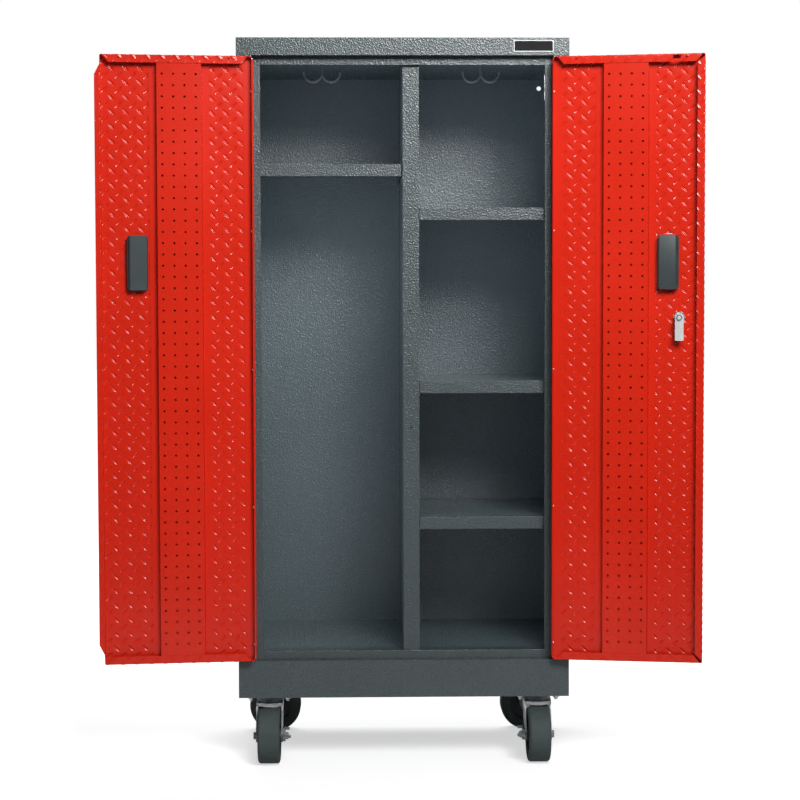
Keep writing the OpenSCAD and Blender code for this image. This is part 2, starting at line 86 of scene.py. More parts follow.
def area(name, loc, target, sx, sy, power, spread=180):
    data = bpy.data.lights.new(name, "AREA")
    data.shape = "RECTANGLE"
    data.size, data.size_y, data.energy, data.spread = sx, sy, power, math.radians(spread)
    ob = bpy.data.objects.new(name, data)
    scene.collection.objects.link(ob)
    ob.location = loc
    ob.rotation_euler = (Vector(target) - Vector(loc)).to_track_quat("-Z", "Y").to_euler()
    return ob


def make_stage():
    corners = [(-30, -30, 0), (30, -30, 0), (30, 30, 0), (-30, 30, 0)]
    floor = mesh_object("studio_floor", corners, [(0, 1, 2, 3)])
    m, n, l, out = new_material("studio_white")
    b = n.new("ShaderNodeBsdfDiffuse")
    b.inputs["Color"].default_value = (0.7, 0.7, 0.7, 1)
    glow = n.new("ShaderNodeEmission")
    path = n.new("ShaderNodeLightPath")
    far = n.new("ShaderNodeVectorMath")
    far.operation = "LENGTH"
    l.new(n.new("ShaderNodeTexCoord").outputs["Object"], far.inputs[0])
    level = maprange(n, l, far.outputs["Value"], 0.9, 3.2, 0.58, 1.04)
    gain = n.new("ShaderNodeMath")
    gain.operation = "MULTIPLY"
    l.new(level, gain.inputs[1])
    l.new(path.outputs["Is Camera Ray"], gain.inputs[0])
    l.new(gain.outputs[0], glow.inputs["Strength"])
    add = n.new("ShaderNodeAddShader")
    l.new(b.outputs[0], add.inputs[0])
    l.new(glow.outputs[0], add.inputs[1])
    l.new(add.outputs[0], out.inputs[0])
    floor.data.materials.append(m)
    world = bpy.data.worlds.new("studio")
    scene.world = world
    world.use_nodes = True
    t = world.node_tree
    white = t.nodes["Background"]
    white.inputs[0].default_value = (1, 1, 1, 1)
    soft = t.nodes.new("ShaderNodeBackground")
    soft.inputs[0].default_value = (0.93, 0.97, 1.0, 1)
    soft.inputs[1].default_value = 0.125
    pick = t.nodes.new("ShaderNodeMixShader")
    path = t.nodes.new("ShaderNodeLightPath")
    t.links.new(path.outputs["Is Camera Ray"], pick.inputs[0])
    t.links.new(soft.outputs[0], pick.inputs[1])
    t.links.new(white.outputs[0], pick.inputs[2])
    t.links.new(pick.outputs[0], t.nodes["World Output"].inputs[0])
    area("key", (0.86, -3.0, 2.95), (0, -0.2, 1.45), 1.7, 1.0, 38, spread=100)
    area("side_key", (1.25, -3.6, 2.65), (0, -0.2, 1.5), 0.8, 0.6, 13, spread=100)
    area("back", (0, 2.6, 3.6), (0, 1.2, 0), 3.0, 1.5, 120)
    low = area("low", (0, -1.3, 0.03), (0, 0.2, 0.13), 1.6, 0.4, 0.5, spread=70)
    low.visible_camera = low.visible_glossy = False
    # soft panels just inside the mouth of the cabinet, which light only its inside
    for name, z, sy, power in (("mouth_upper", 1.34, 0.62, 4.0), ("mouth_lower", 0.65, 0.72, 1.9)):
        mouth = area(name, (0.006, -0.135, z), (0.006, 1, z), 0.66, sy, power)
        mouth.data.color = (0.90, 1.0, 1.12)
        mouth.visible_camera = mouth.visible_glossy = False


# --------------------------------------------------------------- materials
def new_material(name):
    m = bpy.data.materials.new(name)
    m.use_nodes = True
    t = m.node_tree
    t.nodes.clear()
    out = t.nodes.new("ShaderNodeOutputMaterial")
    return m, t.nodes, t.links, out


def noise(n, l, co, scale, detail=2.0, rough=0.5):
    x = n.new("ShaderNodeTexNoise")
    x.inputs["Scale"].default_value = scale
    x.inputs["Detail"].default_value = detail
    x.inputs["Roughness"].default_value = rough
    l.new(co, x.inputs["Vector"])
    return x.outputs["Fac"]


def ramp(n, l, fac, stops):
    r = n.new("ShaderNodeValToRGB")
    e = r.color_ramp.elements
    while len(e) < len(stops):
        e.new(0.5)
    for k, (pos, col) in enumerate(stops):
        e[k].position = pos
        e[k].color = (*col, 1)
    l.new(fac, r.inputs[0])
    return r.outputs[0]


def maprange(n, l, fac, a, b, c, d):
    r = n.new("ShaderNodeMapRange")
    for k, v in zip((1, 2, 3, 4), (a, b, c, d)):
        r.inputs[k].default_value = v
    l.new(fac, r.inputs[0])
    return r.outputs[0]


def mix(n, l, kind, fac, a, b):
    x = n.new("ShaderNodeMix")
    x.data_type = "RGBA"
    x.blend_type = kind
    if isinstance(fac, float):
        x.inputs[0].default_value = fac
    else:
        l.new(fac, x.inputs[0])
    for k, v in ((6, a), (7, b)):
        if isinstance(v, tuple):
            x.inputs[k].default_value = (*v, 1)
        else:
            l.new(v, x.inputs[k])
    return x.outputs[2]


def bump(n, l, height, strength, distance, normal=None):
    b = n.new("ShaderNodeBump")
    b.inputs["Strength"].default_value = strength
    b.inputs["Distance"].default_value = distance
    l.new(height, b.inputs["Height"])
    if normal:
        l.new(normal, b.inputs["Normal"])
    return b.outputs[0]


def shader(n, l, out, color, rough, normal, metallic=0.0, spec=0.5, coat=0.0, coat_rough=0.1):
    b = n.new("ShaderNodeBsdfPrincipled")
    l.new(color, b.inputs["Base Color"])
    l.new(rough, b.inputs["Roughness"])
    l.new(normal, b.inputs["Normal"])
    b.inputs["Metallic"].default_value = metallic
    b.inputs["Specular IOR Level"].default_value = spec
    b.inputs["IOR"].default_value = 1.5
    b.inputs["Coat Weight"].default_value = coat
    b.inputs["Coat Roughness"].default_value = coat_rough
    l.new(b.outputs[0], out.inputs[0])


def coords(n):
    return n.new("ShaderNodeTexCoord").outputs["Object"]


def mat_carcass():
    """Hammered powder coat: dark slate with paler metallic veins a few millimetres apart."""
    m, n, l, out = new_material("carcass_hammered")
    co = coords(n)
    cell = n.new("ShaderNodeTexVoronoi")
    cell.feature = "SMOOTH_F1"
    cell.inputs["Scale"].default_value = 300
    cell.inputs["Smoothness"].default_value = 0.6
    warp = n.new("ShaderNodeTexNoise")
    warp.inputs["Scale"].default_value = 210
    warp.inputs["Detail"].default_value = 2
    l.new(co, warp.inputs["Vector"])
    add = n.new("ShaderNodeVectorMath")
    add.operation = "MULTIPLY_ADD"
    l.new(warp.outputs["Color"], add.inputs[0])
    add.inputs[1].default_value = (0.004, 0.004, 0.004)
    l.new(co, add.inputs[2])
    l.new(add.outputs[0], cell.inputs["Vector"])
    fine = noise(n, l, co, 520, 2)
    vein = ramp(n, l, cell.outputs["Distance"], [
        (0.05, (0.050, 0.066, 0.070)), (0.45, (0.057, 0.075, 0.079)), (0.8, (0.068, 0.088, 0.092))])
    speck = ramp(n, l, fine, [(0.35, (0.92, 0.92, 0.92)), (0.65, (1.06, 1.06, 1.06))])
    c = mix(n, l, "MULTIPLY", 1.0, vein, speck)
    cloud = ramp(n, l, noise(n, l, co, 3.5, 3), [(0.3, (0.93, 0.93, 0.93)), (0.7, (1.06, 1.06, 1.06))])
    c = mix(n, l, "MULTIPLY", 1.0, c, cloud)
    rg = maprange(n, l, cell.outputs["Distance"], 0.0, 0.8, 0.36, 0.24)
    nb = bump(n, l, cell.outputs["Distance"], 0.8, 0.0010)
    nb = bump(n, l, fine, 0.2, 0.0003, nb)
    shader(n, l, out, c, rg, nb, metallic=0.0, spec=0.5, coat=0.15, coat_rough=0.2)
    return m


def mat_door():
    """Satin red powder coat with a slight orange peel and faint handling dust."""
    m, n, l, out = new_material("door_red")
    co = coords(n)
    cloud = noise(n, l, co, 4.0, 4, 0.6)
    c = ramp(n, l, cloud, [(0.3, (0.570, 0.0160, 0.0040)), (0.7, (0.620, 0.0185, 0.0055))])
    grain = ramp(n, l, noise(n, l, co, 900, 2), [(0.3, (0.96, 0.96, 0.96)), (0.7, (1.03, 1.03, 1.03))])
    c = mix(n, l, "MULTIPLY", 1.0, c, grain)
    rg = maprange(n, l, cloud, 0.25, 0.75, 0.18, 0.23)
    nb = bump(n, l, noise(n, l, co, 420, 2), 0.10, 0.0002)
    shader(n, l, out, c, rg, nb, spec=0.36)
    return m


def mat_metal(name, lo, hi, r0, r1):
    """Plated or polished metal with a faint spangle."""
    scale = 60
    m, n, l, out = new_material(name)
    co = coords(n)
    v = n.new("ShaderNodeTexVoronoi")
    v.inputs["Scale"].default_value = scale * 3
    l.new(co, v.inputs["Vector"])
    f = noise(n, l, co, scale, 4, 0.6)
    c = ramp(n, l, f, [(0.3, lo), (0.7, hi)])
    sp = ramp(n, l, v.outputs["Distance"], [(0.0, (0.94, 0.94, 0.94)), (0.6, (1.0, 1.0, 1.0))])
    c = mix(n, l, "MULTIPLY", 1.0, c, sp)
    rg = maprange(n, l, f, 0.3, 0.7, r0, r1)
    nb = bump(n, l, noise(n, l, co, scale * 12, 2), 0.08, 0.0002)
    shader(n, l, out, c, rg, nb, metallic=1.0)
    return m


def mat_fork():
    """Zinc plate, painted bright on the crown as a highlight and dark down the legs as shade."""
    m, n, l, out = new_material("fork_plate")
    co = coords(n)
    f = noise(n, l, co, 55, 4, 0.6)
    # painted highlight colour for the crown, and painted shade colour for the legs
    crown_painted_highlight = ramp(n, l, f, [(0.3, (0.84, 0.86, 0.87)), (0.7, (0.95, 0.96, 0.97))])
    legs_painted_shade = ramp(n, l, f, [(0.3, (0.12, 0.14, 0.145)), (0.7, (0.24, 0.265, 0.27))])
    split = n.new("ShaderNodeSeparateXYZ")
    l.new(co, split.inputs[0])
    # painted light by height: above 0.118–0.127 m the crown is painted lit, below it the legs are painted
    # in shade
    up = maprange(n, l, split.outputs["Z"], 0.118, 0.127, 0.0, 1.0)
    c = mix(n, l, "MIX", up, legs_painted_shade, crown_painted_highlight)
    rg = maprange(n, l, f, 0.3, 0.7, 0.26, 0.42)
    nb = bump(n, l, noise(n, l, co, 700, 2), 0.08, 0.0002)
    shader(n, l, out, c, rg, nb, metallic=0.0)
    return m


def mat_plastic(name, lo, hi, rough, scale=700, depth=0.00012, spec=0.4):
    """Moulded or enamelled surface with a fine grain; scale and depth are the grain's."""
    m, n, l, out = new_material(name)
    co = coords(n)
    f = noise(n, l, co, 25, 3)
    c = ramp(n, l, f, [(0.3, lo), (0.7, hi)])
    g = noise(n, l, co, scale, 2)
    nb = bump(n, l, g, 0.35, depth)
    rg = maprange(n, l, g, 0.3, 0.7, rough - 0.05, rough + 0.07)
    shader(n, l, out, c, rg, nb, spec=spec)
    return m


def mat_rubber():
    """Moulded rubber with fine grain and patches of pale dust."""
    m, n, l, out = new_material("tyre_rubber")
    co = coords(n)
    g = noise(n, l, co, 320, 4, 0.6)
    d = noise(n, l, co, 22, 4, 0.6)
    c = ramp(n, l, d, [(0.35, (0.040, 0.054, 0.055)), (0.75, (0.062, 0.080, 0.080))])
    nb = bump(n, l, g, 0.3, 0.0003)
    rg = maprange(n, l, d, 0.3, 0.7, 0.62, 0.80)
    shader(n, l, out, c, rg, nb, spec=0.35)
    return m


MAT = {}


def make_materials():
    MAT["carcass_paint"] = mat_carcass()
    MAT["door_paint"] = mat_door()
    MAT["zinc"] = mat_metal("zinc_plate", (0.60, 0.61, 0.62), (0.74, 0.75, 0.76), 0.22, 0.36)
    MAT["fork"] = mat_fork()
    MAT["cup"] = mat_plastic("raceway_enamel", (0.030, 0.050, 0.054), (0.050, 0.078, 0.083), 0.26,
                             400, 0.0001, 0.6)
    MAT["cam"] = mat_plastic("cam_zinc", (0.48, 0.49, 0.48), (0.60, 0.61, 0.60), 0.30,
                             500, 0.0001, 0.6)
    MAT["wire"] = mat_metal("hook_wire", (0.62, 0.64, 0.65), (0.76, 0.78, 0.79), 0.25, 0.38)
    MAT["pull"] = mat_plastic("pull_plastic", (0.034, 0.045, 0.047), (0.042, 0.055, 0.058), 0.42)
    MAT["hub"] = mat_plastic("hub_plastic", (0.035, 0.039, 0.042), (0.048, 0.052, 0.055), 0.5)
    MAT["tyre"] = mat_rubber()
    MAT["plate"] = mat_plastic("plate_black", (0.005, 0.005, 0.006), (0.009, 0.009, 0.010), 0.6,
                               500, 0.00005, 0.15)
    MAT["rim"] = mat_plastic("plate_rim", (0.62, 0.64, 0.64), (0.70, 0.72, 0.72), 0.3)


# ----------------------------------------------------------- tread sheet
# all in mm: a door's width, lower and upper edge, depth of its fold, and sheet thickness
DOOR_W, Z0, Z1, DEPTH, SKIN = 342.0, 248.0, 1630.5, 20.0, 1.2
BEND = 2.4                      # outer bend radius of the folded sheet
PIN_X, PIN_Y = 344.0, -3.0      # hinge pin, from the cabinet's middle and the closed door's face
PIN_TO_EDGE = 1.0               # from the pin to the door's hinged edge
PULL_CUT = (237, 285, 1099.5, 1224.5)   # u and z limits of the opening for the pull
LOCK = (286.5, 1036.7)          # middle of the lock's hole
TU, TZ = 32.2, 33.0             # repeat of the tread pattern
# a lug's length, width and height, and the share of it that is flank
LUG_L, LUG_W, LUG_H, LUG_FLANK = 25.5, 9.6, 2.1, 1.0
# place across the sheet and height of the middle of one lug, for each of the two slants
TREAD = {"left": ((42.5, 1619.0), (27.0, 1602.5)), "right": ((39.2, 1625.8), (55.2, 1609.8))}
OPEN = {"left": -math.radians(174.25), "right": -math.radians(170.35)}
SLOPE = math.radians(44)
FOLD_SHARE = 0.42               # lugs are pressed flatter on the folded borders
WALL_ROWS = (4.5, 6.5, 8.5, 10.5, 12.5, 14.5, 16.0, DEPTH - BEND)
FLAT_ROWS = 7                   # rows across a return
EDGE_STEP = 2.6                 # spacing of the points round the pan


def to_row(side, u, v, z):
    """Closed-door coordinates in mm to the row's frame in m, at the open rest pose."""
    t = OPEN[side]
    a, b = u + PIN_TO_EDGE, v - PIN_Y
    dx = a * math.cos(t) - b * math.sin(t)
    y = PIN_Y + a * math.sin(t) + b * math.cos(t)
    x = -PIN_X + dx if side == "left" else PIN_X - dx
    return ((x + SHIFT[0]) * MM, (y + SHIFT[1]) * MM, z * MM)


def dir_row(side, nu, nv, nz):
    """The same turn for a direction."""
    t = OPEN[side]
    dx = nu * math.cos(t) - nv * math.sin(t)
    return (dx if side == "left" else -dx, nu * math.sin(t) + nv * math.cos(t), nz)


def lug_profile(e):
    """Height of a lug at e, which is 0 on its crest and 1 on its outline."""
    if e >= 1:
        return 0.0
    q = min((1 - e) / LUG_FLANK, 1.0)
    return LUG_H * q * q * (3 - 2 * q)


def tread(side, s, z):
    """Height of the tread pattern at a place of the unfolded sheet."""
    best = 0.0
    for (cu, cz), sg in zip(TREAD[side], (-1, 1)):
        du = (s - cu + TU / 2) % TU - TU / 2
        dz = (z - cz + TZ / 2) % TZ - TZ / 2
        a = du * math.cos(SLOPE) + dz * sg * math.sin(SLOPE)
        b = -du * sg * math.sin(SLOPE) + dz * math.cos(SLOPE)
        e = (2 * a / LUG_L) ** 2 + abs(2 * b / LUG_W)
        best = max(best, lug_profile(e))
    return best


def tread_slope(side, s, z):
    """Slope of the pattern along s and along z."""
    d = 0.15
    return ((tread(side, s + d, z) - tread(side, s - d, z)) / (2 * d),
            (tread(side, s, z + d) - tread(side, s, z - d)) / (2 * d))


class Sheet:
    """A folded sheet given by its outer face; close() adds the inner face and the rims."""

    def __init__(self, side):
        self.side, self.key = side, {}
        self.pos, self.nrm, self.flat, self.faces = [], [], [], []

    def vert(self, u, v, z, n, s, w, h=1.0, out=(1, 0), along=None):
        """u, v, z: place; n: outer normal; s, w: place on the unfolded sheet; h: share of the
        pattern's height; out: a direction in (s, w), which points to along on the folded sheet."""
        k = (round(u, 2), round(v, 2), round(z, 2))
        if k in self.key:
            return self.key[k]
        n = Vector(n).normalized()
        nn = n.copy()
        hh = 0.0
        if h:
            hh = tread(self.side, s, w) * h
            gs, gw = (g * h for g in tread_slope(self.side, s, w))
            if gs or gw:
                across = Vector((-out[1], 0, out[0]))
                tp = Vector(along) if along else Vector((out[0], 0, out[1]))
                along_slope = gs * out[0] + gw * out[1]
                cross_slope = gw * out[0] - gs * out[1]
                nn = (n - tp * along_slope - across * cross_slope).normalized()
        self.key[k] = len(self.pos)
        self.pos.append(Vector((u, v, z)) + n * hh)
        self.nrm.append(nn)
        self.flat.append(n)
        return self.key[k]

    def quad(self, *ids):
        ids = [i for k, i in enumerate(ids) if i != ids[k - 1]]
        if len(set(ids)) >= 3:
            self.faces.append(ids)

    def grid(self, rows, hole=None):
        for r0, r1 in zip(rows, rows[1:]):
            for q in zip(r0, r0[1:], r1[1:], r1):
                mid = sum((self.pos[i] for i in q), Vector()) / 4
                if not (hole and hole(mid)):
                    self.quad(*q)

    def close(self, name, thickness=SKIN):
        side = self.side
        n0 = len(self.pos)
        # orient every outer face along its own normals
        faces = []
        for f in self.faces:
            p = [self.pos[i] for i in f]
            nx = Vector((0, 0, 0))
            for k in range(1, len(p) - 1):
                nx += (p[k] - p[0]).cross(p[k + 1] - p[0])
            if nx.dot(sum((self.flat[i] for i in f), Vector())) < 0:
                f = f[::-1]
            faces.append(f)
        verts = list(self.pos) + [p - n * thickness for p, n in zip(self.pos, self.flat)]
        edge = {}
        for f in faces:
            for a, b in zip(f, f[1:] + f[:1]):
                edge[(a, b)] = edge.get((a, b), 0) + 1
        rim = [(a, b) for (a, b) in edge if (b, a) not in edge]
        out = [list(f) for f in faces] + [[i + n0 for i in f[::-1]] for f in faces]
        n_smooth = len(out)
        out += [[b, a, a + n0, b + n0] for a, b in rim]
        mirror = side == "right"
        if mirror:
            out = [f[::-1] for f in out]
        me = bpy.data.meshes.new(name)
        me.from_pydata([to_row(side, *p) for p in verts], [], out)
        me.update()
        vn = [Vector(dir_row(side, *n)) for n in self.nrm]
        vn += [-n for n in vn]
        loops = []
        me.polygons.foreach_set("use_smooth", [True] * len(me.polygons))
        for p in me.polygons:
            if p.index < n_smooth:
                loops += [vn[i] for i in p.vertices]
            else:
                loops += [p.normal.copy()] * len(p.vertices)
        me.normals_split_custom_set(loops)
        ob = bpy.data.objects.new(name, me)
        scene.collection.objects.link(ob)
        return ob


def lens_points(cu, cz, sg, e, xs):
    """Points of a lug's contour at level e; xs are their places along its length, -1 to 1."""
    up = [(x, e * (1 - x * x)) for x in xs]
    loop = up + [(x, -b) for x, b in reversed(up[1:-1])]
    out = []
    for x, b in loop:
        a = LUG_L / 2 * math.sqrt(e) * x
        c = LUG_W / 2 * b
        out.append((cu + a * math.cos(SLOPE) - c * sg * math.sin(SLOPE),
                    cz + a * sg * math.sin(SLOPE) + c * math.cos(SLOPE)))
    return out


def outline(side):
    """Points of the pan's outline, with the outward direction and a tag, counter-clockwise in (u, z)."""
    rh, rf = 8.0, 4.0
    pts = []

    def run(p, q, nrm, tag, marks=()):
        ks = [0.0] + sorted(marks) + [1.0]
        for a, b in zip(ks, ks[1:]):
            length = math.dist(p, q) * (b - a)
            n = max(1, round(length / (8.0 if tag == "hinge" else EDGE_STEP)))
            for k in range(n):
                t = a + (b - a) * k / n
                pts.append((p[0] + (q[0] - p[0]) * t, p[1] + (q[1] - p[1]) * t, nrm, tag))

    def corner(cu, cz, r, a0, n):
        for k in range(n):
            a = math.radians(a0 + 90 * k / n)
            pts.append((cu + r * math.cos(a), cz + r * math.sin(a), (math.cos(a), math.sin(a)), "corner"))

    W = DOOR_W
    ulen, zlen = W - rh - rf, Z1 - Z0 - 2 * rf
    m_bot = [(11 - rh) / ulen]
    if side == "left":
        m_free = [(271 - Z0 - rf) / zlen, (1608 - Z0 - rf) / zlen]
    else:
        m_free = []
    run((rh, Z0), (W - rf, Z0), (0, -1), "bottom", m_bot)
    corner(W - rf, Z0 + rf, rf, -90, 3)
    run((W, Z0 + rf), (W, Z1 - rf), (1, 0), "free", m_free)
    corner(W - rf, Z1 - rf, rf, 0, 3)
    run((W - rf, Z1), (rh, Z1), (0, 1), "top", [1 - (11 - rh) / ulen])
    corner(rh, Z1 - rh, rh, 90, 5)
    run((0, Z1 - rh), (0, Z0 + rh), (-1, 0), "hinge")
    corner(rh, Z0 + rh, rh, 180, 5)
    return pts


def share(p, value):
    """The hinge wall is plain; the other borders carry the pattern, which fades at the corners."""
    if p[3] == "hinge":
        return 0.0
    near = min(math.hypot(p[0] - u, p[1] - z) for u in (0, DOOR_W) for z in (Z0, Z1))
    return value * min(1.0, max(0.0, (near - 8) / 12))


def unfold(p, d):
    """Place on the unfolded sheet, d mm outside the outline point p."""
    return p[0] + p[2][0] * d, p[1] + p[2][1] * d


def return_hole(side):
    """The small holes, and on the right door the latch slot, in the flat of the top return."""
    centres = [(52.8, 1623), (299 if side == "left" else 300, 1623)]

    def hole(p):
        if p.y < DEPTH - 0.1 * BEND - 0.5:
            return False
        slot = side == "right" and 270 < p.x < 287.5 and 1618.5 < p.z < 1627
        return slot or any(math.hypot(p.x - u, p.z - z) < 1.9 for u, z in centres)

    return hole


def door_pan(side):
    """The tread-plate pan: front, outer bend, walls, and returns over its back."""
    sh = Sheet(side)
    R = BEND
    ring = outline(side)
    rings = []
    for k in range(4):
        ph = math.pi / 2 * k / 3
        d, v = R * (1 - math.sin(ph)), R * (1 - math.cos(ph))
        row = []
        for p in ring:
            s, w = unfold(p, R * ph - R)
            row.append(sh.vert(p[0] - p[2][0] * d, v, p[1] - p[2][1] * d,
                               (math.sin(ph) * p[2][0], -math.cos(ph), math.sin(ph) * p[2][1]), s, w,
                               share(p, FOLD_SHARE if k else 1.0),
                               p[2], (math.cos(ph) * p[2][0], math.sin(ph), math.cos(ph) * p[2][1])))
        rings.append(row)
    for v in WALL_ROWS:
        row = []
        for p in ring:
            s, w = unfold(p, R * math.pi / 2 - R + v - R)
            row.append(sh.vert(p[0], v, p[1], (p[2][0], 0, p[2][1]), s, w,
                               share(p, FOLD_SHARE), p[2], (0, 1, 0)))
        rings.append(row)
    sh.grid([r + r[:1] for r in rings])
    last = rings[-1]
    n = len(ring)

    def span(tag, lo, hi, axis):
        return [i for i in range(n) if ring[i][3] == tag and lo - 1e-6 <= ring[i][axis] <= hi + 1e-6]

    folded = set()
    base = R * math.pi / 2 - R + DEPTH - 2 * R   # unfolded distance at the end of the wall
    spans = [("top", 11, DOOR_W - 5, 0), ("bottom", 11, DOOR_W - 5, 0)]
    if side == "right":
        spans.append(("free", Z0 + 5, Z1 - 5, 1))
    for tag, lo, hi, axis in spans:
        ids = span(tag, lo, hi, axis)
        folded.update(zip(ids, ids[1:]))
        a0, a1 = ring[ids[0]][axis], ring[ids[-1]][axis]
        width = 18.0 if tag != "free" else 17.0
        # how far the slanted ends come in: 13 mm at the hinge, 13.5 mm at the free corners
        k_lo, k_hi = (14.0, -14.0) if tag == "free" else (13.0, -13.5)
        if a0 > a1:
            k_lo, k_hi = k_hi, k_lo
        rows = [[last[i] for i in ids]]
        stations = [("bend", math.pi / 2 + math.pi / 2 * k / 3) for k in (1, 2, 3)]
        stations += [("flat", R + (width - R) * k / FLAT_ROWS) for k in range(1, FLAT_ROWS + 1)]
        for kind, q in stations:
            row = []
            for i in ids:
                p = ring[i]
                if kind == "bend":
                    d, v = R * (1 - math.sin(q)), DEPTH - R - R * math.cos(q)
                    nr = (math.sin(q) * p[2][0], -math.cos(q), math.sin(q) * p[2][1])
                    al = (math.cos(q) * p[2][0], math.sin(q), math.cos(q) * p[2][1])
                    dist = base + R * (q - math.pi / 2)
                else:
                    d, v, nr = q, DEPTH, (0, 1, 0)
                    al = (-p[2][0], 0, -p[2][1])
                    dist = base + R * math.pi / 2 + q - R
                t = (p[axis] - a0) / (a1 - a0)
                cut = max(0.0, d - R) / (width - R)
                pos = a0 + k_lo * cut + t * ((a1 + k_hi * cut) - (a0 + k_lo * cut))
                if axis == 0:
                    u, z, q0 = pos, p[1] - p[2][1] * d, (pos, p[1], p[2])
                else:
                    u, z, q0 = p[0] - p[2][0] * d, pos, (p[0], pos, p[2])
                s, w = unfold(q0, dist)
                row.append(sh.vert(u, v, z, nr, s, w, share((*q0, ""), FOLD_SHARE), p[2], al))
            rows.append(row)
        sh.grid(rows, return_hole(side) if tag == "top" else None)
    if side == "left":
        # lip folded outwards, past the door's free edge
        ids = span("free", 271, 1608, 1)
        folded.update(zip(ids, ids[1:]))
        a0, a1 = ring[ids[0]][1], ring[ids[-1]][1]
        r = 1.2
        rows = [[last[i] for i in ids]]
        stations = [("wall", 19.2)] + [("bend", math.pi / 2 * k / 3) for k in (1, 2, 3)]
        stations += [("flat", r + (12 - r) * k / 6) for k in range(1, 7)]
        for kind, q in stations:
            row = []
            for i in ids:
                p = ring[i]
                if kind == "wall":
                    du, v, nr, dist = 0.0, q, (1, 0, 0), base + q - DEPTH + R
                    al = (0, 1, 0)
                elif kind == "bend":
                    du, v = r * (1 - math.cos(q)), 20.4 - r + r * math.sin(q)
                    nr = (math.cos(q), -math.sin(q), 0)
                    al = (math.sin(q), math.cos(q), 0)
                    dist = base + 19.2 - DEPTH + R + r * q
                else:
                    du, v, nr = q, 20.4, (0, -1, 0)
                    al = (1, 0, 0)
                    dist = base + 19.2 - DEPTH + R + r * math.pi / 2 + q - r
                cut = du / 12.0 * 23.0
                t = (p[1] - a0) / (a1 - a0)
                lo2, hi2 = (a0 + cut, a1 - cut) if a0 < a1 else (a0 - cut, a1 + cut)
                z = lo2 + t * (hi2 - lo2)
                s, w = unfold((p[0], z, p[2]), dist)
                row.append(sh.vert(p[0] + du, v, z, nr, s, w, FOLD_SHARE, p[2], al))
            rows.append(row)
        sh.grid(rows)
    # straight end of the wall wherever nothing is folded
    for i in range(n):
        j = (i + 1) % n
        if (i, j) in folded:
            continue
        ids = []
        for k in (i, j):
            p = ring[k]
            s, w = unfold(p, base + R)
            ids.append(sh.vert(p[0], DEPTH, p[1], (p[2][0], 0, p[2][1]), s, w,
                               share(p, FOLD_SHARE), p[2], (0, 1, 0)))
        sh.quad(last[i], last[j], ids[1], ids[0])
    face(sh, rings[0])
    return sh.close(side + "_door_tread")


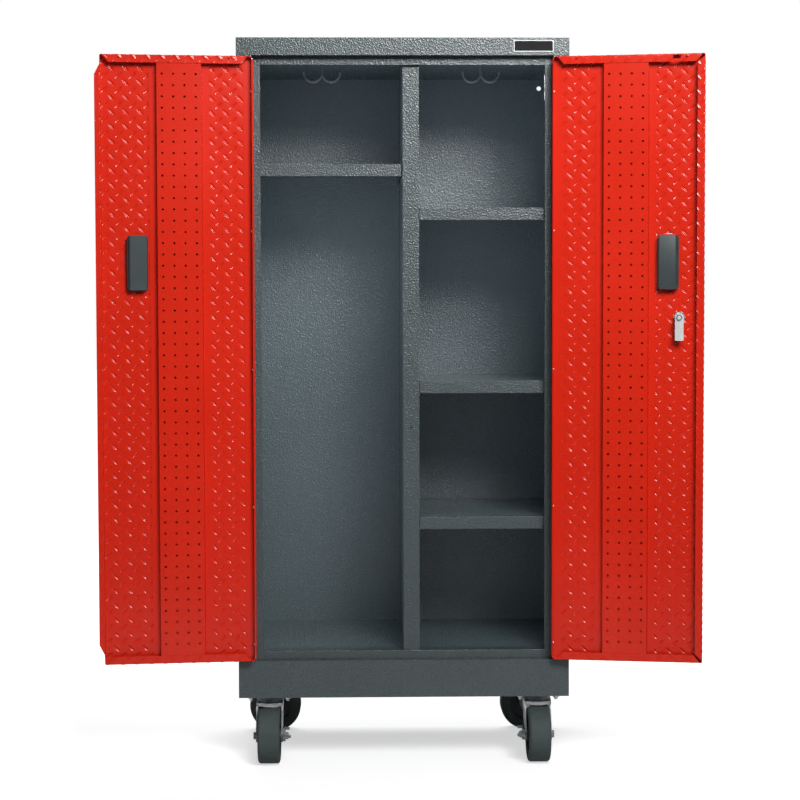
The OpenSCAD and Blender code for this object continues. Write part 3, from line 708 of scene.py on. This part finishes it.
def face(sh, border):
    """The flat front of the pan, triangulated round its lugs and cut-outs."""
    side = sh.side
    pts, edges, cuts = [], [], []
    for i in border:
        pts.append((sh.pos[i].x, sh.pos[i].z))
    nb = len(pts)
    edges += [(i, (i + 1) % nb) for i in range(nb)]

    def loop(ps):
        i0 = len(pts)
        pts.extend(ps)
        edges.extend((i0 + k, i0 + (k + 1) % len(ps)) for k in range(len(ps)))

    def rounded(u0, u1, z0, z1, r, n=5):
        ps = []
        for cu, cz, a0 in ((u1 - r, z0 + r, -90), (u1 - r, z1 - r, 0),
                           (u0 + r, z1 - r, 90), (u0 + r, z0 + r, 180)):
            for k in range(n + 1):
                a = math.radians(a0 + 90 * k / n)
                ps.append((cu + r * math.cos(a), cz + r * math.sin(a)))
        return ps

    # openings for the pull and the lock, each with a plain margin round it
    u0, u1, z0, z1 = PULL_CUT
    cuts.append(lambda u, z: u0 < u < u1 and z0 < z < z1)
    keep_out = [(u0 - 4, u1 + 4, z0 - 4, z1 + 4)]
    loop(rounded(*PULL_CUT, 8))
    if side == "right":
        angles = [2 * math.pi * k / 24 for k in range(24)]
        loop([(LOCK[0] + 9.6 * math.cos(a), LOCK[1] + 9.6 * math.sin(a)) for a in angles])
        cuts.append(lambda u, z: math.dist((u, z), LOCK) < 9.5)
        keep_out.append((275, 298, 1025, 1048.5))
    # places along a lug's length at which each contour has its points, finer higher up
    fine = (-1, -0.72, -0.3, 0.3, 0.72, 1)
    medium = (-1, -0.5, 0, 0.5, 1)
    ends = (-1, 1)
    lo_u, hi_u, lo_z, hi_z = BEND + 0.6, DOOR_W - BEND - 0.6, Z0 + BEND + 0.6, Z1 - BEND - 0.6
    for (cu, cz), sg in zip(TREAD[side], (-1, 1)):
        k0 = math.floor((0 - cu) / TU)
        for k in range(k0, k0 + 13):
            m0 = math.floor((Z0 - cz) / TZ)
            for m in range(m0, m0 + 45):
                c = (cu + k * TU, cz + m * TZ)
                if not (-12 < c[0] < DOOR_W + 12 and Z0 - 12 < c[1] < Z1 + 12):
                    continue
                for e, xs in ((1.0, fine), (0.62, fine), (0.27, medium), (0.03, ends)):
                    ps = lens_points(c[0], c[1], sg, e, xs)
                    inside = [lo_u < u < hi_u and lo_z < z < hi_z and
                              not any(a < u < b and p < z < q for a, b, p, q in keep_out) for u, z in ps]
                    corner_ok = [not (u < 12 and (z < Z0 + 12 or z > Z1 - 12)) or
                                 math.hypot(min(u - 8, 0), z - (Z0 + 8 if z < Z0 + 12 else Z1 - 8)) < 4.8
                                 for u, z in ps]
                    inside = [a and b for a, b in zip(inside, corner_ok)]
                    if all(inside):
                        loop(ps)
                    elif any(inside):
                        pts.extend(p for p, ok in zip(ps, inside) if ok)
    r = delaunay_2d_cdt([Vector(p) for p in pts], edges, [], 0, 1e-4, False)
    co, tris = r[0], r[2]
    ids = []
    for c in co:
        flat = any(a < c.x < b and p < c.y < q for a, b, p, q in keep_out)
        key = (round(c.x, 2), 0.0, round(c.y, 2))
        if key in sh.key:
            ids.append(sh.key[key])
        else:
            ids.append(sh.vert(c.x, 0.0, c.y, (0, -1, 0), c.x, c.y, 0.0 if flat else 1.0))
    inside_border = lambda u, z: BEND <= u <= DOOR_W - BEND and Z0 + BEND <= z <= Z1 - BEND
    for t in tris:
        cu = sum(co[i].x for i in t) / 3
        cz = sum(co[i].y for i in t) / 3
        if any(c(cu, cz) for c in cuts) or not inside_border(cu, cz):
            continue
        if cu < 8 and (cz < Z0 + 8 or cz > Z1 - 8):
            if math.hypot(cu - 8, cz - (Z0 + 8 if cz < Z0 + 8 else Z1 - 8)) > 5.6:
                continue
        if (cu > DOOR_W - 4 and (cz < Z0 + 4 or cz > Z1 - 4)):
            if math.hypot(cu - DOOR_W + 4, cz - (Z0 + 4 if cz < Z0 + 4 else Z1 - 4)) > 1.6:
                continue
        sh.quad(*[ids[i] for i in t])


def stiffener(side):
    """Plain strip along the hinged edge inside the pan, held by dished spot welds."""
    sh = Sheet(side)
    u0, u1, top = SKIN, 19.5, SKIN + 0.85
    us = [u0, u0 + 0.3] + [u0 + 0.3 + (u1 - u0 - 0.6) * k / 10 for k in range(1, 11)] + [u1]
    rows = []
    for k in range(456):
        z = Z0 + 8 + (Z1 - Z0 - 16) * k / 455
        dz = (z - Z0 - 40) % 124 - 62
        row = []
        for u in us:
            r = math.hypot(u - 11, dz)
            dish = 0.35 * math.cos(min(r / 4.5, 1.0) * math.pi / 2) ** 2
            edge = 0.3 if u in (us[0], us[-1]) else 0.0
            row.append(sh.vert(u, top - dish - edge, z, (0, 1, 0), u, z, 0.0))
        rows.append(row)
    sh.grid(rows)
    return sh.close(side + "_door_stiffener", 0.4)


def rounded_plate(name, lo, hi, r, chamfer, material):
    """A plate in X and Z with round corners; its front edge, at the low Y, is chamfered."""
    bm = bmesh.new()
    corners = ((hi[0] - r, lo[2] + r, -90), (hi[0] - r, hi[2] - r, 0),
               (lo[0] + r, hi[2] - r, 90), (lo[0] + r, lo[2] + r, 180))

    def ring(y, inset):
        vs = []
        for cx, cz, a0 in corners:
            for k in range(7):
                a = math.radians(a0 + 15 * k)
                x, z = cx + (r - inset) * math.cos(a), cz + (r - inset) * math.sin(a)
                vs.append(bm.verts.new((x, y, z)))
        return vs

    rings = [ring(hi[1], 0), ring(lo[1] + chamfer, 0),
             ring(lo[1] + chamfer * 0.3, chamfer * 0.3), ring(lo[1], chamfer)]
    for a, b in zip(rings, rings[1:]):
        for k in range(len(a)):
            bm.faces.new((a[k], a[(k + 1) % len(a)], b[(k + 1) % len(a)], b[k]))
    bm.faces.new(rings[0][::-1])
    bm.faces.new(rings[-1])
    bmesh.ops.recalc_face_normals(bm, faces=bm.faces)
    me = bpy.data.meshes.new(name)
    bm.to_mesh(me)
    bm.free()
    me.materials.append(MAT[material])
    ob = bpy.data.objects.new(name, me)
    scene.collection.objects.link(ob)
    return ob


def make_badge():
    """Blank trim plate on the cap: a pale rim round a black face."""
    lo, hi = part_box("blank_plate")
    w, proud, thick = 2.2 * MM, 0.15 * MM, 0.8 * MM
    rim = rounded_plate("trim_plate_rim", lo, hi, 1.6 * MM, 0.5 * MM, "rim")
    face_lo = (lo[0] + w, lo[1] - proud, lo[2] + w)
    face_hi = (hi[0] - w, lo[1] - proud + thick, hi[2] - w)
    face = rounded_plate("trim_plate_face", face_lo, face_hi, 1.2 * MM, 0.2 * MM, "plate")
    for ob in (rim, face):
        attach(ob, "cabinet")
        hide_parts("blank_plate")


def make_doors():
    for side in ("left", "right"):
        for ob in (door_pan(side), stiffener(side)):
            ob.data.materials.append(MAT["door_paint"])
            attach(ob, side + "_door")
            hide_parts(side + "_door_pan")


# ----------------------------------------------------------- CAD finishing
SLOT_OF = {s["node"]: s["material_slot"] for s in frame["record"]["subparts"]}
# nodes whose paint or plating differs from that of their slot
LOOK_OF = {"lock_cam": "cam"}
for hand in ("left", "right"):
    LOOK_OF["caster_top_" + hand] = "cup"
    LOOK_OF["coat_hook_" + hand] = "wire"
    for part in ("fork_", "rigid_fork_", "brake_", "axle_"):
        LOOK_OF[part + hand] = "fork"
BEVEL = {"carcass_paint": 0.7, "door_paint": 0.35, "pull": 0.9, "zinc": 0.35}   # mm
NO_BEVEL = ("hinge_pins", "frame_hinge_left", "frame_hinge_right", "left_door_hinge",
            "right_door_hinge", "left_door_channel", "right_door_channel")


def finish_nodes():
    """Materials for every CAD node, and broken edges on its sheet metal and fittings."""
    for name, ob in NODES.items():
        slot = SLOT_OF[name]
        ob.data.materials.clear()
        ob.data.materials.append(MAT[LOOK_OF.get(name, slot)])
        if slot in BEVEL and name not in NO_BEVEL:
            weld = ob.modifiers.new("weld", "WELD")
            weld.merge_threshold = 0.00002
            flat = ob.modifiers.new("flat", "DECIMATE")
            flat.decimate_type = "DISSOLVE"
            flat.angle_limit = math.radians(0.5)
            edge = ob.modifiers.new("edge", "BEVEL")
            edge.width = BEVEL[slot] * MM
            edge.segments = 2
            edge.limit_method = "ANGLE"
            edge.angle_limit = math.radians(40)
            edge.use_clamp_overlap = True


make_materials()
make_camera()
make_stage()
make_doors()
make_badge()
finish_nodes()

bpy.context.view_layer.update()
